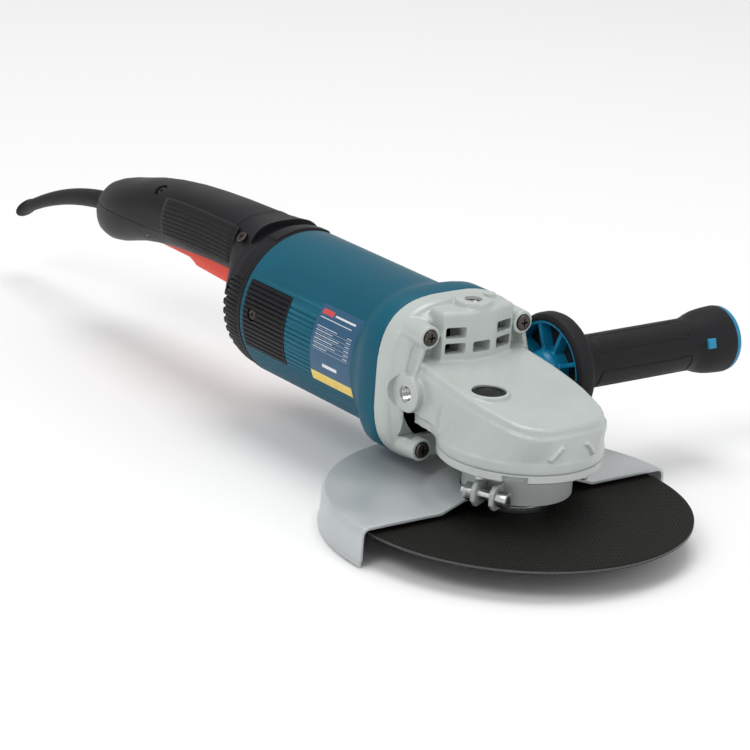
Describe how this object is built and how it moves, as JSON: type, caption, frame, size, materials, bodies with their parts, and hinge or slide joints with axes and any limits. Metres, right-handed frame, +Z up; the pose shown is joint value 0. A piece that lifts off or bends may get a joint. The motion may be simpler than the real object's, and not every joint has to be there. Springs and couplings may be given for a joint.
{
  "type": "angle grinder",
  "caption": "Large corded angle grinder with half guard, cutting disc, straight rear handle with paddle trigger, and a side handle with a round hand guard.",
  "frame": {"origin": "on the spindle axis, at the spindle's free threaded end", "axes": "+Z up the spindle towards the gear head, +X towards the nose, -X towards the rear handle, +Y towards the side handle"},
  "size_m": [0.723, 0.3455, 0.1405],
  "materials": {
    "painted_alloy": "satin grey-green enamel on die-cast alloy",
    "zinc_steel": "bright zinc plate",
    "bearing_steel": "ground",
    "gear_steel": "machined, oiled",
    "guard_sheet": "satin silver-grey paint on pressed sheet",
    "abrasive": "matt bonded abrasive with a glass-cloth weave",
    "housing_teal": "finely textured glass-filled nylon",
    "housing_black": "finely textured glass-filled nylon",
    "rubber_black": "matt moulded rubber",
    "grip_blue": "satin moulded plastic",
    "trigger_red": "satin moulded plastic",
    "label_film": "printed film with no lettering",
    "silicon_steel": "laminated sheet stack",
    "copper_wire": "enamelled copper",
    "brass_part": "pressed",
    "carbon": "matt graphite"
  },
  "bodies": {
    "housing": {"gear_housing": "painted_alloy", "gear_housing_screws": "zinc_steel", "bearing_box": "painted_alloy", "bearing_box_screws": "zinc_steel", "spindle_ball_bearing": "bearing_steel", "spindle_top_bearing": "bearing_steel", "dust_seal": "rubber_black", "lock_spring": "bearing_steel", "motor_housing": "housing_teal", "rating_label": "label_film", "field_core": "silicon_steel", "field_coils": "copper_wire", "air_baffle": "housing_black", "front_motor_bearing": "bearing_steel", "rear_motor_bearing": "bearing_steel", "brush_holders": "brass_part", "carbon_brushes": "carbon", "brush_springs": "bearing_steel", "brush_cover_left": "housing_teal", "brush_cover_right": "housing_teal", "brush_cover_screws": "zinc_steel", "rear_bell": "housing_black", "bell_screws": "zinc_steel", "rear_handle_upper": "housing_black", "rear_handle_lower": "housing_black", "handle_screws": "zinc_steel", "trigger_pin_rod": "zinc_steel", "trigger_spring": "bearing_steel", "switch_body": "housing_black", "cord_guard": "rubber_black", "cord_clamp": "housing_black", "side_handle_stud": "zinc_steel", "handguard_wheel": "grip_blue", "handguard_rim": "rubber_black", "side_handle_core": "grip_blue", "side_grip": "rubber_black", "grip_end_ring": "grip_blue", "grip_inserts": "grip_blue"},
    "spindle_set": {"spindle": "zinc_steel", "bevel_gear": "gear_steel", "inner_flange": "zinc_steel", "grinding_disc": "abrasive", "flange_nut": "zinc_steel"},
    "rotor": {"armature_shaft": "bearing_steel", "armature_core": "silicon_steel", "armature_windings": "copper_wire", "commutator": "copper_wire", "cooling_fan": "housing_black", "bevel_pinion": "gear_steel"},
    "guard": {"guard_shell": "guard_sheet", "guard_collar": "painted_alloy", "guard_clamp_bolt": "zinc_steel", "guard_clamp_nut": "zinc_steel"},
    "trigger_body": {"trigger": "trigger_red"},
    "lock_body": {"lock_button": "housing_black"}
  },
  "joints": [
    {"name": "spindle_spin", "type": "hinge", "parent": "housing", "child": "spindle_set", "pos_m": [0, 0, 0], "axis": [0, 0, 1], "continuous": true},
    {"name": "rotor_spin", "type": "hinge", "parent": "housing", "child": "rotor", "pos_m": [0, 0, 0.078], "axis": [1, 0, 0], "continuous": true},
    {"name": "guard_turn", "type": "hinge", "parent": "housing", "child": "guard", "pos_m": [0, 0, 0.035], "axis": [0, 0, 1], "range_deg": [-90, 90]},
    {"name": "trigger_press", "type": "hinge", "parent": "housing", "child": "trigger_body", "pos_m": [-0.405, 0, 0.086], "axis": [0, -1, 0], "range_deg": [0, 4.5], "stiffness_Nm_per_rad": 3, "springref_deg": -5.73},
    {"name": "lock_press", "type": "slide", "parent": "housing", "child": "lock_body", "axis": [0, 0, -1], "range_m": [0, 0.004], "stiffness_N_per_m": 1500, "springref_m": -0.002, "deforming": ["lock_spring"]}
  ],
  "couplings": [
    {"joint": "rotor_spin", "follows": "spindle_spin", "ratio": -4}
  ]
}
